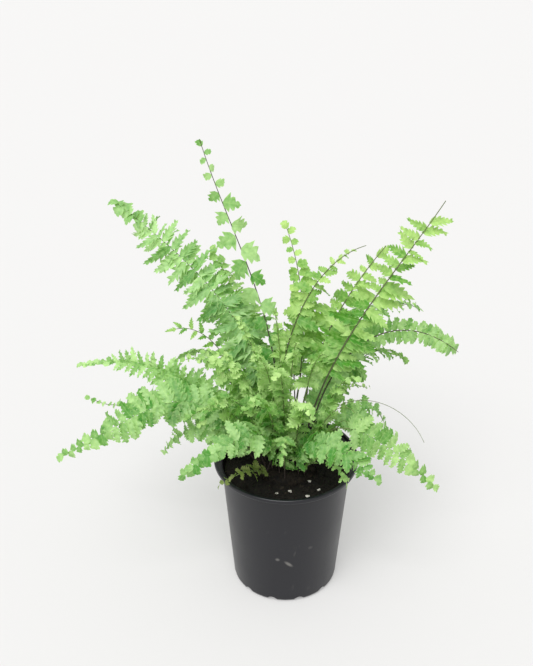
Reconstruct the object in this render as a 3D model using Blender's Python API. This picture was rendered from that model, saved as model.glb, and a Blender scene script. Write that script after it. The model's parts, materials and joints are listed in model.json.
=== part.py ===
"""A potted fern: a black nursery pot, its potting soil, the fern's crown and every frond that grows from it.

Frame: metres, +Z up. The origin is the centre of the pot's flat underside and -Y is the plant's front.
Each frond is one solid, a thin stem with its leaflets as pointed teeth, and it starts on the crown.
Sizes below are in millimetres, and MM turns them into metres.
"""

import math
from collections import namedtuple

import bmesh
import bpy
from mathutils import Matrix, Vector, noise

MM = 0.001
GAP = 0.3  # clearance between solids that touch on the real plant

# The pot
POT_HEIGHT = 122.0
RIM_RADIUS = 60.0
NECK_RADIUS = 53.5  # outside of the wall, just under the flared lip
BASE_RADIUS = 44.5
WALL = 1.4
LIP_DROP = 3.0  # height of the lip's outer edge
FLARE_HEIGHT = 9.0  # from the neck to the top of the lip
CORNER_RADIUS = 4.0  # between the wall and the base
POT_SEGMENTS = 72
NOTCHES = 12
NOTCH_RADIUS = 4.6
NOTCH_DEPTH = 9.0  # how far a drain notch runs in under the base

# The soil and the crown
SOIL_TOP = 110.0
SOIL_ROUGHNESS = 1.5
SOIL_RINGS = 7
SOIL_SEGMENTS = 32
CROWN_RADIUS = 26.0
CROWN_HEIGHT = 9.0
CROWN_RINGS = 5

# The fronds
STEM_RADIUS = 0.85
STEM_TIP_RADIUS = 0.4
STEM_STATIONS = 5  # rings on the bare stalk below the leaflets
BARE_SHARE = 0.3  # share of a frond's length that carries no leaflets
SWEEP = 0.35  # how far a leaflet's point leads its root, as a share of the pitch
LEAST_REACH = 0.24  # the tip leaflets' reach, as a share of the widest ones'
SEAT = 0.55  # from the crown's skin to the middle of a stem's end

# base is (azimuth in degrees, distance from the pot's axis) on the crown. curve pulls the stem, as the
# control points of a Bezier, and its last point is the tip. reach is the longest leaflet, pitch the
# spacing along one side, and twist turns the blade on its stem.
Frond = namedtuple("Frond", "name base curve reach pitch twist")

TALL = [
    Frond("frond_tall_1", (180, 9), [(4, 9, 239), (-41, 16, 305), (-65, 25, 389)], 12, 19, -60),
    Frond("frond_tall_2", (172, 15), [(-4, 16, 226), (-71, 31, 283), (-131, 45, 329)], 20, 11, -55),
    Frond("frond_tall_3", (350, 13), [(21, -2, 217), (80, 2, 287), (116, 12, 346)], 21, 13, 50),
    Frond("frond_tall_4", (30, 10), [(12, 24, 191), (42, 37, 249), (79, 52, 290)], 17, 13, 45),
    Frond("frond_tall_5", (120, 7), [(-15, 16, 178), (5, 31, 282), (62, 42, 295)], 12, 14, 40),
    Frond("frond_tall_6", (98, 10), [(28, 40, 224), (0, 56, 303)], 10, 12, 0),
    Frond("frond_tall_7", (140, 14), [(-28, 31, 240), (-57, 42, 287)], 16, 12, -30),
]
ARCHING = [
    Frond("frond_arching_1", (178, 21), [(-53, 9, 172), (-100, 16, 217), (-165, 25, 194)], 15, 11, -45),
    Frond("frond_arching_2", (158, 21), [(-60, 35, 230), (-125, 58, 105), (-172, 75, 129)], 12, 12, -10),
    Frond("frond_arching_3", (196, 21), [(-72, -19, 236), (-109, -22, 179), (-182, -35, 145)], 21, 11, -15),
    Frond("frond_arching_4", (222, 21), [(5, -45, 205), (-60, -75, 185), (-80, -85, 164)], 17, 11, 0),
    Frond("frond_arching_5", (300, 20), [(0, -35, 190), (50, -75, 180), (69, -80, 155)], 17, 11, 0),
    Frond("frond_arching_6", (335, 20), [(29, -15, 208), (96, -27, 136), (121, -35, 115)], 20, 11, 5),
    Frond("frond_arching_7", (6, 18), [(22, 14, 204), (76, 24, 264), (141, 32, 203)], 16, 10, 40),
    Frond("frond_arching_8", (12, 22), [(66, 14, 185), (82, 24, 140)], 14, 11, 0),
    Frond("frond_arching_9", (187, 23), [(-62, -8, 185), (-99, -5, 132)], 13, 11, -10),
    Frond("frond_arching_10", (158, 19), [(-47, 26, 238), (-89, 32, 225)], 13, 11, -40),
    Frond("frond_arching_11", (25, 21), [(38, 22, 190), (68, 30, 169)], 9, 11, 0),
    Frond("frond_arching_12", (38, 14), [(60, 52, 262), (113, 82, 216)], 14, 11, 20),
]
INNER = [
    Frond("frond_inner_1", (202, 13), [(-30, -14, 235), (-63, -25, 238)], 17, 11, -25),
    Frond("frond_inner_2", (225, 16), [(-38, -29, 235), (-66, -65, 200)], 15, 11, 0),
    Frond("frond_inner_3", (244, 11), [(-12, -26, 240), (-25, -58, 254)], 17, 11, 0),
    Frond("frond_inner_4", (262, 13), [(-2, -34, 245), (-10, -72, 245)], 17, 11, 0),
    Frond("frond_inner_5", (285, 8), [(2, -14, 235), (6, -42, 256)], 16, 11, 0),
    Frond("frond_inner_6", (305, 11), [(16, -18, 235), (27, -45, 248)], 16, 11, 0),
    Frond("frond_inner_7", (328, 17), [(36, -18, 215), (52, -32, 219)], 14, 11, 15),
    Frond("frond_inner_8", (252, 18), [(-12, -50, 235), (-32, -90, 228)], 16, 11, 0),
    Frond("frond_inner_9", (318, 18), [(34, -32, 210), (50, -58, 205)], 15, 11, 0),
    Frond("frond_inner_10", (182, 17), [(-44, 2, 225), (-80, 3, 214)], 15, 11, -20),
    Frond("frond_inner_11", (209, 19), [(-42, -24, 210), (-76, -44, 190)], 15, 11, 0),
    Frond("frond_inner_12", (288, 17), [(10, -46, 228), (16, -88, 222)], 16, 11, 0),
    Frond("frond_inner_13", (245, 4), [(-4, -4, 230), (-10, -18, 268)], 15, 11, 0),
    Frond("frond_inner_14", (205, 8), [(-20, -6, 235), (-40, -16, 262)], 15, 11, -10),
    Frond("frond_inner_15", (350, 23), [(48, -3, 186), (54, -6, 146)], 14, 11, 0),
    Frond("frond_inner_16", (235, 23), [(-30, -36, 142), (-52, -42, 124)], 10, 12, 0),
    Frond("frond_inner_17", (267, 22), [(-3, -42, 194), (-4, -66, 170)], 10, 12, 0),
    Frond("frond_inner_18", (309, 23), [(24, -38, 182), (44, -61, 142)], 13, 11, 0),
]
BACK = [
    Frond("frond_back_1", (45, 21), [(60, 50, 225), (106, 90, 160)], 17, 11, 0),
    Frond("frond_back_2", (62, 21), [(32, 62, 215), (62, 118, 140)], 17, 11, 0),
    Frond("frond_back_3", (85, 21), [(6, 68, 210), (12, 132, 135)], 17, 11, 0),
    Frond("frond_back_4", (108, 21), [(-24, 66, 210), (-45, 128, 138)], 17, 11, 0),
    Frond("frond_back_5", (132, 21), [(-55, 62, 215), (-95, 108, 150)], 17, 11, 0),
    Frond("frond_back_6", (76, 18), [(16, 48, 215), (24, 88, 195)], 15, 11, 0),
    Frond("frond_back_7", (112, 14), [(-22, 44, 215), (-42, 80, 195)], 15, 11, 0),
    Frond("frond_back_8", (48, 13), [(40, 42, 230), (72, 72, 232)], 15, 11, 0),
]
FRONDS = TALL + ARCHING + INNER + BACK

# Stems with no leaflets: two old bare ones, and the runner that arches out to the right.
Stem = namedtuple("Stem", "name base curve radius")
STEMS = [
    Stem("bare_stem_1", (55, 17), [(4, 48, 214), (6, 55, 257)], 0.6),
    Stem("bare_stem_2", (33, 18), [(17, 40, 200), (31, 60, 225)], 0.6),
    Stem("runner", (359, 24), [(18, -2, 199), (90, -1, 192), (114, 0, 135)], 0.5),
]
STEM_RINGS = 14

# Perlite granules lying on the soil: (x, y, size across).
PERLITE = [
    (3, -34, 3.2),
    (19, -22, 2.8),
    (26, -33, 2.6),
    (17, -41, 3.4),
    (-8, -37, 2.2),
    (-36, 24, 3.0),
]


def material(name, colour, roughness):
    made = bpy.data.materials.new(name)
    made.use_nodes = True
    shader = made.node_tree.nodes["Principled BSDF"]
    shader.inputs["Base Color"].default_value = (*colour, 1.0)
    shader.inputs["Roughness"].default_value = roughness
    return made


def add_object(name, mesh, finish, smooth=False):
    made = bpy.data.objects.new(name, mesh)
    bpy.context.scene.collection.objects.link(made)
    if finish:
        mesh.materials.append(finish)
    if smooth:
        mesh.shade_smooth()
        mesh.set_sharp_from_angle(angle=math.radians(40))
    return made


def mesh_of(name, bm):
    """Ends a bmesh: its faces are made to point outwards and it becomes a mesh."""
    bmesh.ops.recalc_face_normals(bm, faces=bm.faces)
    mesh = bpy.data.meshes.new(name)
    bm.to_mesh(mesh)
    bm.free()
    return mesh


# %% The pot


def arc(centre, radius, start, end, steps):
    """Points of an arc in the pot's section, from one angle to another in degrees."""
    turns = [math.radians(start + (end - start) * k / steps) for k in range(steps + 1)]
    return [(centre[0] + radius * math.cos(a), centre[1] + radius * math.sin(a)) for a in turns]


def pot_section():
    """The pot's wall, lip and floor cut through, as (radius, height), down the outside and up the inside."""
    neck = POT_HEIGHT - FLARE_HEIGHT
    lip_low = POT_HEIGHT - LIP_DROP
    corner = (BASE_RADIUS - CORNER_RADIUS, CORNER_RADIUS)
    inner_corner = CORNER_RADIUS - WALL
    outside = [
        (RIM_RADIUS, POT_HEIGHT - WALL / 2),
        (RIM_RADIUS, lip_low),
        (NECK_RADIUS + 3.4, lip_low - 1.2),
        (NECK_RADIUS + 1.2, lip_low - 3.4),
        (NECK_RADIUS, neck),
    ]
    underside = arc(corner, CORNER_RADIUS, 0, -90, 4) + [(0, 0)]
    floor = [(0, WALL)] + arc(corner, inner_corner, -90, 0, 3)
    inside = [
        (NECK_RADIUS - WALL, neck),
        (NECK_RADIUS - 0.1, lip_low - 2.6),
        (NECK_RADIUS + 2.4, lip_low + 0.4),
        (RIM_RADIUS - 1.6, POT_HEIGHT),
    ]
    return outside + underside + floor + inside + [(RIM_RADIUS - WALL / 2, POT_HEIGHT)]


def drain_notches():
    """One cutter: a ring of short rods that open the corner between wall and base."""
    bm = bmesh.new()
    middle = BASE_RADIUS - NOTCH_DEPTH / 2 + 2.0
    for k in range(NOTCHES):
        turn = math.radians(360 / NOTCHES * (k + 0.5))
        place = (
            Matrix.Rotation(turn, 4, "Z")
            @ Matrix.Translation(Vector((middle, 0, 0)) * MM)
            @ Matrix.Rotation(math.pi / 2, 4, "Y")
        )
        bmesh.ops.create_cone(
            bm,
            cap_ends=True,
            segments=10,
            radius1=NOTCH_RADIUS * MM,
            radius2=NOTCH_RADIUS * MM,
            depth=(NOTCH_DEPTH + 4.0) * MM,
            matrix=place,
        )
    cutter = add_object("drain_notch_cutter", mesh_of("drain_notch_cutter", bm), None)
    cutter.hide_render = True
    cutter.display_type = "WIRE"
    return cutter


def make_pot(finish):
    bm = bmesh.new()
    ring = [bm.verts.new((r * MM, 0, z * MM)) for r, z in pot_section()]
    for a, b in zip(ring, ring[1:] + ring[:1]):
        if a.co.x > 0 or b.co.x > 0:
            bm.edges.new((a, b))
    mesh = bpy.data.meshes.new("pot")
    bm.to_mesh(mesh)
    bm.free()
    pot = add_object("pot", mesh, finish)
    turn = pot.modifiers.new("turned", "SCREW")
    turn.axis = "Z"
    turn.angle = math.tau
    turn.steps = POT_SEGMENTS
    turn.render_steps = POT_SEGMENTS
    turn.use_merge_vertices = True
    turn.merge_threshold = 0.00001
    turn.use_smooth_shade = True
    cut = pot.modifiers.new("drain_notches", "BOOLEAN")
    cut.operation = "DIFFERENCE"
    cut.object = drain_notches()
    return pot


def inside_radius(height):
    """The radius of the pot's inner wall at a height between its floor and its neck."""
    neck = POT_HEIGHT - FLARE_HEIGHT
    share = (height - CORNER_RADIUS) / (neck - CORNER_RADIUS)
    return BASE_RADIUS + (NECK_RADIUS - BASE_RADIUS) * share - WALL


# %% The soil, the perlite in it and the crown


def soil_height(x, y):
    """Crumbly soil: level under the crown and at the wall, uneven between them."""
    away = math.hypot(x, y)
    edge = inside_radius(SOIL_TOP) - GAP
    rough = min(1.0, max(0.0, (away - CROWN_RADIUS - 1) / 6), max(0.0, (edge - away) / 3))
    return SOIL_TOP + SOIL_ROUGHNESS * rough * noise.noise(Vector((x, y, 0)) / 9.0)


def circle(bm, radius, height, segments):
    """A level ring of vertices. height may be a function of x and y."""
    ring = []
    for k in range(segments):
        a = math.tau * k / segments
        x, y = radius * math.cos(a), radius * math.sin(a)
        z = height(x, y) if callable(height) else height
        ring.append(bm.verts.new(Vector((x, y, z)) * MM))
    return ring


def join_rings(bm, rings):
    for low, high in zip(rings, rings[1:]):
        for k in range(len(low)):
            after = (k + 1) % len(low)
            bm.faces.new((low[k], low[after], high[after], high[k]))


def make_soil(finish):
    bm = bmesh.new()
    floor = WALL + GAP
    low_radius = BASE_RADIUS - NOTCH_DEPTH - 3.0
    wall_low = NOTCH_RADIUS + 2.0
    edge = inside_radius(SOIL_TOP) - GAP
    rings = [
        circle(bm, low_radius, floor, SOIL_SEGMENTS),
        circle(bm, low_radius + 2.0, wall_low, SOIL_SEGMENTS),
        circle(bm, inside_radius(wall_low + 1) - GAP, wall_low + 1, SOIL_SEGMENTS),
    ]
    for k in range(SOIL_RINGS):
        radius = edge + (CROWN_RADIUS - edge) * k / (SOIL_RINGS - 1)
        rings.append(circle(bm, radius, soil_height, SOIL_SEGMENTS))
    join_rings(bm, rings)
    bm.faces.new(rings[0])
    bm.faces.new(rings[-1])
    return add_object("soil", mesh_of("soil", bm), finish)


def crown_height(radius):
    return CROWN_HEIGHT * math.sqrt(max(0.0, 1 - (radius / CROWN_RADIUS) ** 2))


def make_crown(finish):
    """The low dome of old stem bases and roots that all the fronds grow from."""
    bm = bmesh.new()
    seat = SOIL_TOP + GAP
    rings = []
    for k in range(CROWN_RINGS):
        around = math.pi / 2 * k / CROWN_RINGS
        radius = CROWN_RADIUS * math.cos(around)
        rings.append(circle(bm, radius, seat + crown_height(radius), SOIL_SEGMENTS))
    join_rings(bm, rings)
    bm.faces.new(rings[0])
    peak = bm.verts.new((0, 0, (seat + CROWN_HEIGHT) * MM))
    for k, corner in enumerate(rings[-1]):
        bm.faces.new((corner, rings[-1][(k + 1) % SOIL_SEGMENTS], peak))
    return add_object("crown", mesh_of("crown", bm), finish, smooth=True)


def make_perlite(number, x, y, size, finish):
    bm = bmesh.new()
    bmesh.ops.create_icosphere(bm, subdivisions=1, radius=size / 2 * MM)
    for v in bm.verts:
        v.co *= 1 + 0.25 * noise.noise(v.co / (size * MM) + Vector((number, 0, 0)))
    lowest = min(v.co.z for v in bm.verts)
    seat = Vector((x, y, soil_height(x, y) + GAP)) * MM
    seat.z -= lowest
    bmesh.ops.translate(bm, verts=bm.verts, vec=seat)
    name = f"perlite_{number}"
    return add_object(name, mesh_of(name, bm), finish)


# %% The fronds


def stem_root(base):
    """Where a stem starts: just off the crown's skin at that azimuth and distance from the axis."""
    azimuth, away = math.radians(base[0]), base[1]
    out = Vector((math.cos(azimuth), math.sin(azimuth), 0))
    steep = crown_height(away)
    skin = out * away + Vector((0, 0, SOIL_TOP + GAP + steep))
    slope = out * away / CROWN_RADIUS**2 + Vector((0, 0, steep / CROWN_HEIGHT**2))
    return skin + slope.normalized() * SEAT


class Path:
    """The curve of one stem, a Bezier from its root to its tip, walked by distance."""

    FINE = 60

    def __init__(self, base, curve):
        self.controls = [stem_root(base)] + [Vector(point) for point in curve]
        self.root, self.tip = self.controls[0], self.controls[-1]
        points = [self.at(k / self.FINE)[0] for k in range(self.FINE + 1)]
        self.walked = [0.0]
        for a, b in zip(points, points[1:]):
            self.walked.append(self.walked[-1] + (b - a).length)
        self.length = self.walked[-1]

    def at(self, t):
        """The point and the tangent at t, by halving in on the control points (de Casteljau)."""
        points = self.controls
        while len(points) > 2:
            points = [a.lerp(b, t) for a, b in zip(points, points[1:])]
        return points[0].lerp(points[1], t), (points[1] - points[0]).normalized()

    def share(self, distance):
        """The Bezier's own parameter at a distance along it."""
        for k in range(self.FINE):
            if self.walked[k + 1] >= distance:
                part = (distance - self.walked[k]) / (self.walked[k + 1] - self.walked[k])
                return (k + part) / self.FINE
        return 1.0

    def frame(self, distance, twist=0.0):
        """Centre, tangent, the direction to a leaflet on the left, and the blade's upper normal."""
        centre, along = self.at(self.share(distance))
        out = self.tip - self.root
        level = Vector((-out.y, out.x, 0))
        side = (level - level.dot(along) * along).normalized()
        side.rotate(Matrix.Rotation(math.radians(twist), 3, along))
        return centre, along, side, along.cross(side)


def blade_outline(share):
    """Leaflet reach along the blade from 0, its first leaflets, to 1, its tip."""
    return max(LEAST_REACH, math.sin(math.pi * (0.12 + 0.88 * share) ** 0.75))


def frond_stations(frond, path):
    """Rings along a frond as (distance, left reach, right reach, lead, stem radius)."""
    bare = BARE_SHARE * path.length
    stations = []
    for k in range(STEM_STATIONS):
        distance = bare * k / STEM_STATIONS
        stations.append((distance, None, None, 0.0))
    half_pitch = frond.pitch / 2
    teeth = round((path.length - bare) / half_pitch)
    for k in range(teeth):
        share = k / (teeth - 1)
        reach = frond.reach * blade_outline(share)
        distance = bare + (path.length - bare - half_pitch) * share
        sides = (reach, None) if k % 2 else (None, reach)
        stations.append((distance, *sides, SWEEP * frond.pitch))
    return stations


def make_solid(name, path, stations, radius, tip_radius, twist, finish):
    """Joins four-cornered rings along the path: left, upper, right and lower corner."""
    bm = bmesh.new()
    rings = []
    for distance, left, right, lead in stations:
        centre, along, side, upper = path.frame(distance, twist)
        thick = radius + (tip_radius - radius) * distance / path.length
        corners = []
        for direction, reach in ((side, left), (upper, None), (-side, right), (-upper, None)):
            point = centre + direction * (reach or thick)
            if reach:
                point += along * lead
            corners.append(bm.verts.new(point * MM))
        rings.append(corners)
    join_rings(bm, rings)
    bm.faces.new(rings[0])
    end = bm.verts.new(path.tip * MM)
    for k in range(4):
        bm.faces.new((rings[-1][k], rings[-1][(k + 1) % 4], end))
    return add_object(name, mesh_of(name, bm), finish)


def make_frond(frond, finish):
    path = Path(frond.base, frond.curve)
    stations = frond_stations(frond, path)
    return make_solid(
        frond.name, path, stations, STEM_RADIUS, STEM_TIP_RADIUS, frond.twist, finish
    )


def make_stem(stem, finish):
    path = Path(stem.base, stem.curve)
    last = path.length * (1 - 1 / STEM_RINGS)
    stations = [(last * k / STEM_RINGS, None, None, 0.0) for k in range(STEM_RINGS + 1)]
    return make_solid(
        stem.name, path, stations, stem.radius, STEM_TIP_RADIUS, 0.0, finish
    )


# %% The whole plant


def main():
    for old in list(bpy.data.objects):
        bpy.data.objects.remove(old)
    black_plastic = material("black_plastic", (0.045, 0.045, 0.05), 0.42)
    dark_soil = material("dark_soil", (0.03, 0.022, 0.016), 0.95)
    crown_brown = material("crown_brown", (0.07, 0.045, 0.025), 0.9)
    perlite_white = material("perlite_white", (0.75, 0.73, 0.68), 0.9)
    leaf_green = material("leaf_green", (0.24, 0.5, 0.09), 0.5)
    stem_brown = material("stem_brown", (0.1, 0.07, 0.055), 0.55)

    make_pot(black_plastic)
    make_soil(dark_soil)
    make_crown(crown_brown)
    for number, (x, y, size) in enumerate(PERLITE, 1):
        make_perlite(number, x, y, size, perlite_white)
    for frond in FRONDS:
        make_frond(frond, leaf_green)
    for stem in STEMS:
        make_stem(stem, stem_brown)


main()
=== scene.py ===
# %% [markdown]
# # A potted fern
#
# This lesson dresses a ready frame of a fern in a nursery pot. The frame holds plain closed solids at
# their real size: a pot, soil, a crown, and one toothed solid for every frond. Each of them is read for its
# place and then given its real surface here: lobed leaflets, round stems, crumbly soil and moulded plastic.
#
# Everything is in metres, +Z is up, and the origin is the middle of the pot's flat underside.

# %% Load the frame
import json
import math
import random
from types import SimpleNamespace

import bmesh
import bpy
from mathutils import Matrix, Vector, noise

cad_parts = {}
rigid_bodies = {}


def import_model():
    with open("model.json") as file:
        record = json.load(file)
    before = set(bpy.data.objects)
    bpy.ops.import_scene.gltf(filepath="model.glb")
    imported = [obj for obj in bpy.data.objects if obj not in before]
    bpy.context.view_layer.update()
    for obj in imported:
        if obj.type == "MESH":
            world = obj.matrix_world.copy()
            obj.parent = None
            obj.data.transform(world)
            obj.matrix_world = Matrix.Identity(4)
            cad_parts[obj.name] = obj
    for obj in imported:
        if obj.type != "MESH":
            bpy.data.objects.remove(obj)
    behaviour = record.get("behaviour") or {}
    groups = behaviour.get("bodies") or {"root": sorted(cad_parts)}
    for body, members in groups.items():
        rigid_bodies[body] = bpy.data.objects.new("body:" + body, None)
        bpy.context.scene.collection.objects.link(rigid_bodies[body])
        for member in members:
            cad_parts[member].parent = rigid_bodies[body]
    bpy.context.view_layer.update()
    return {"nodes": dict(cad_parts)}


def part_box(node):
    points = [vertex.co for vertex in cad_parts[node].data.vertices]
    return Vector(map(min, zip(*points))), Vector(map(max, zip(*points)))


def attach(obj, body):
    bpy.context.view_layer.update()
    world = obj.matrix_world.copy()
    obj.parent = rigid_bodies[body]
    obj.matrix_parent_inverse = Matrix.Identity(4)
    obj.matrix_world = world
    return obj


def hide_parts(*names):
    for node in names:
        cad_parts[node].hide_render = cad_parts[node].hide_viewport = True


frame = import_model()
MM = 0.001
print("the frame has", len(frame["nodes"]), "solids")

# %% [markdown]
# ## Writing nodes as sums
#
# Materials and Geometry Nodes are both networks of small nodes. They could be wired by hand, but a script
# reads better as a formula. `Wire` stands for one output of a node, and an ordinary sum on it adds the
# Math node that does it. `Board` is the network: its one method `add` makes any other node, first with its
# settings, then with what goes into its sockets.


# %% The wires and the board
class Wire:
    """One output socket. Sums on it are worked out by Math nodes."""

    def __init__(self, board, socket):
        self.board, self.socket = board, socket

    def __add__(self, other):
        return self.board.sum("ADD", self, other)

    def __sub__(self, other):
        return self.board.sum("SUBTRACT", self, other)

    def __rsub__(self, other):
        return self.board.sum("SUBTRACT", other, self)

    def __mul__(self, other):
        return self.board.sum("MULTIPLY", self, other)

    def __truediv__(self, other):
        return self.board.sum("DIVIDE", self, other)

    def __pow__(self, other):
        return self.board.sum("POWER", self, other)

    def __neg__(self):
        return self.board.sum("MULTIPLY", self, -1.0)

    __radd__, __rmul__ = __add__, __mul__


class Board:
    """A node network, for a material or for Geometry Nodes."""

    def __init__(self, tree):
        self.tree = tree

    def add(self, kind, settings=None, output=None, **sockets):
        """Makes a node. A socket is named by its words with _ between them, or as _0, _1 by its place."""
        node = self.tree.nodes.new(kind)
        for name, value in (settings or {}).items():
            setattr(node, name, value)
        for name, value in sockets.items():
            self.plug(self.find(node.inputs, name), value)
        node.select = False
        shown = [s for s in node.outputs if s.enabled]
        if not shown:
            return node
        return Wire(self, self.find(node.outputs, output) if output else shown[0])

    @staticmethod
    def find(sockets, name):
        if name[0] == "_":
            return sockets[int(name[1:])]
        wanted = name.replace("_", " ").lower()
        return next(s for s in sockets if s.enabled and s.name.lower() == wanted)

    def plug(self, socket, value):
        if isinstance(value, Wire):
            self.tree.links.new(value.socket, socket)
        elif isinstance(value, (list, tuple)) and value and isinstance(value[0], Wire):
            for one in value:
                self.tree.links.new(one.socket, socket)
        else:
            socket.default_value = value

    def other(self, wire, name):
        """Another output of the node that a wire comes from."""
        return Wire(self, self.find(wire.socket.node.outputs, name))

    def sum(self, operation, *values):
        return self.add(
            "ShaderNodeMath",
            {"operation": operation},
            **{f"_{k}": v for k, v in enumerate(values)},
        )

    def vector(self, operation, *values, output=None):
        return self.add(
            "ShaderNodeVectorMath",
            {"operation": operation},
            output=output,
            **{f"_{k}": v for k, v in enumerate(values)},
        )

    def longer(self, vector, size):
        """A vector times a number."""
        return self.add("ShaderNodeVectorMath", {"operation": "SCALE"}, _0=vector, scale=size)

    def limit(self, value, low=0.0, high=1.0):
        return self.add("ShaderNodeClamp", value=value, min=low, max=high)

    def between(self, share, low, high):
        """Rises smoothly from 0 to 1 as share goes from low to high."""
        return self.add(
            "ShaderNodeMapRange",
            {"interpolation_type": "SMOOTHSTEP"},
            value=share,
            from_min=low,
            from_max=high,
        )

    def mix(self, share, a, b):
        """Two colours mixed."""
        return self.add("ShaderNodeMix", {"data_type": "RGBA"}, factor=share, a=a, b=b)


# %% [markdown]
# ## The colours of a fern
#
# A colour is easiest to choose as the eye sees it, from 0 to 255, but shaders work with amounts of light.
# `seen` turns the first into the second.


# %% Colours
def seen(red, green, blue):
    """The light in a colour that is given as it looks on a screen."""

    def light(c):
        c /= 255
        return c / 12.92 if c <= 0.04045 else ((c + 0.055) / 1.055) ** 2.4

    return (light(red), light(green), light(blue), 1.0)


def start_material(name):
    """A new material with an empty network."""
    made = bpy.data.materials.new(name)
    made.use_nodes = True
    made.node_tree.nodes.clear()
    return made, Board(made.node_tree)


def surface(board, shader):
    board.add("ShaderNodeOutputMaterial", surface=shader)


# %% [markdown]
# ## The leaf material
#
# A fern leaflet is a thin sheet: some light bounces off its faintly waxy top, and some comes through and
# glows yellow green on the other side. So the surface mixes a Principled shader with a Translucent one.
#
# No two leaflets have the same green. Four numbers travel with every leaflet as attributes: `tint` is the
# frond's own green, from bluish to yellowish, `tone` is the leaflet's lightness, a random part of its own
# plus painted light and shade set for each frond, `along` says how near the frond's tip it grows and paints
# the leaflets darker towards the root as painted shade, and `wither` turns an old frond brown. The leaflet's
# UV map adds what lies within it: a pale midrib, faint side veins, and a painted highlight along the edge.


# %% Leaf material
def leaf_material():
    made, board = start_material("fern_leaf")

    def attribute(name):
        return board.add("ShaderNodeAttribute", {"attribute_name": name}, output="Fac")

    tint, tone, along = attribute("tint"), attribute("tone"), attribute("along")
    uv = board.add("ShaderNodeUVMap", {"uv_map": "UVMap"})
    split = board.add("ShaderNodeSeparateXYZ", vector=uv, output="X")
    out = board.sum("ABSOLUTE", split * 2.0 - 1.0)
    up = board.other(split, "Y")
    place = board.add("ShaderNodeTexCoord", output="Object")
    mottle = board.add("ShaderNodeTexNoise", vector=place, scale=300.0, detail=3.0, output="Fac")

    deep = board.mix(tint, seen(54, 130, 52), seen(66, 138, 32))
    bright = board.mix(tint, seen(188, 228, 168), seen(204, 233, 140))
    # tone brings each frond's painted light or shade, and along paints the leaflets darker towards the root
    # as painted shade
    lightness = board.limit(tone * 0.75 + mottle - 0.46 + along * 0.2)
    green = board.mix(lightness, deep, bright)

    veins = board.between(board.sum("SINE", up * 44.0 - out * 5.0), 0.55, 1.0)
    midrib = 1.0 - board.between(out, 0.0, 0.16)
    # the paler edge is a painted highlight; the pale midrib and veins are the leaf's own colour
    edge = board.between(out, 0.62, 1.0)
    pale = board.limit(midrib * 0.3 + veins * 0.1 + edge * 0.45 - 0.05)
    green = board.mix(pale, green, seen(190, 222, 140))
    brown = board.mix(mottle, seen(70, 78, 36), seen(172, 160, 104))
    green = board.mix(attribute("wither"), green, brown)

    bump = board.add(
        "ShaderNodeBump",
        strength=0.35,
        distance=0.0004,
        height=mottle * 0.5 - midrib * 0.8 - veins * 0.4,
    )
    leaf = board.add(
        "ShaderNodeBsdfPrincipled",
        base_color=green,
        roughness=mottle * 0.2 + 0.42,
        normal=bump,
        specular_ior_level=0.4,
    )
    glow = board.add("ShaderNodeBsdfTranslucent", color=seen(156, 214, 80))
    surface(board, board.add("ShaderNodeMixShader", _0=0.28, _1=leaf, _2=glow))
    return made


LEAF = leaf_material()

# %% [markdown]
# ## The stem material
#
# The stalk of an old frond is wiry and dark, with a purplish brown skin, and a young one is green. The
# attribute `bark` says how old it is, and `along` makes it greener towards the tip.


# %% Stem material
def stem_material():
    made, board = start_material("fern_stem")
    along = board.add("ShaderNodeAttribute", {"attribute_name": "along"}, output="Fac")
    bark = board.add("ShaderNodeAttribute", {"attribute_name": "bark"}, output="Fac")
    place = board.add("ShaderNodeTexCoord", output="Object")
    streak = board.add("ShaderNodeTexNoise", vector=place, scale=220.0, detail=2.0, output="Fac")
    woody = board.mix(streak, seen(44, 36, 34), seen(90, 78, 70))
    fresh = board.mix(streak, seen(92, 112, 58), seen(134, 158, 88))
    green = board.limit(1.0 - bark + board.between(along, 0.5, 1.0) * 0.25) * board.between(along, 0.1, 0.35)
    bump = board.add("ShaderNodeBump", strength=0.3, distance=0.0003, height=streak)
    stem = board.add(
        "ShaderNodeBsdfPrincipled",
        base_color=board.mix(green, woody, fresh),
        roughness=streak * 0.2 + 0.6,
        normal=bump,
    )
    surface(board, stem)
    return made


STEM = stem_material()
print("leaf and stem materials are ready")

# %% [markdown]
# ## Reading the fronds from the frame
#
# Every frond in the frame is a row of four-cornered rings along its stem, closed by one tip point. On a
# ring that carries a leaflet, one corner is pulled far out, to the left and right in turn. Its mesh is
# loose triangles, so a copy is merged first. A walk from the ring at the crown then numbers the rings, and
# every ring gives the stem's middle, the direction to its left side and the leaflet's reach.


# %% Frond spines
def merged(node):
    """The corners and their neighbours of a merged copy of a CAD node."""
    bm = bmesh.new()
    bm.from_mesh(frame["nodes"][node].data)
    bmesh.ops.remove_doubles(bm, verts=bm.verts, dist=0.01 * MM)
    bm.verts.ensure_lookup_table()
    places = [v.co.copy() for v in bm.verts]
    joined = [[e.other_vert(v).index for e in v.link_edges] for v in bm.verts]
    bm.free()
    return places, joined


CROWN_LOW, CROWN_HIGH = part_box("crown")
CROWN_MIDDLE = Vector((0, 0, CROWN_LOW.z))


def rings_of(node):
    """The rings of a frond or a bare stem, from the crown to the tip point."""
    places, joined = merged(node)
    order = sorted(range(len(places)), key=lambda k: (places[k] - CROWN_MIDDLE).length)
    ring, seen_before, rings = order[:4], set(order[:4]), []
    while ring:
        rings.append([places[k] for k in ring])
        ring = sorted({n for k in ring for n in joined[k]} - seen_before)
        seen_before.update(ring)
    return rings


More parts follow.
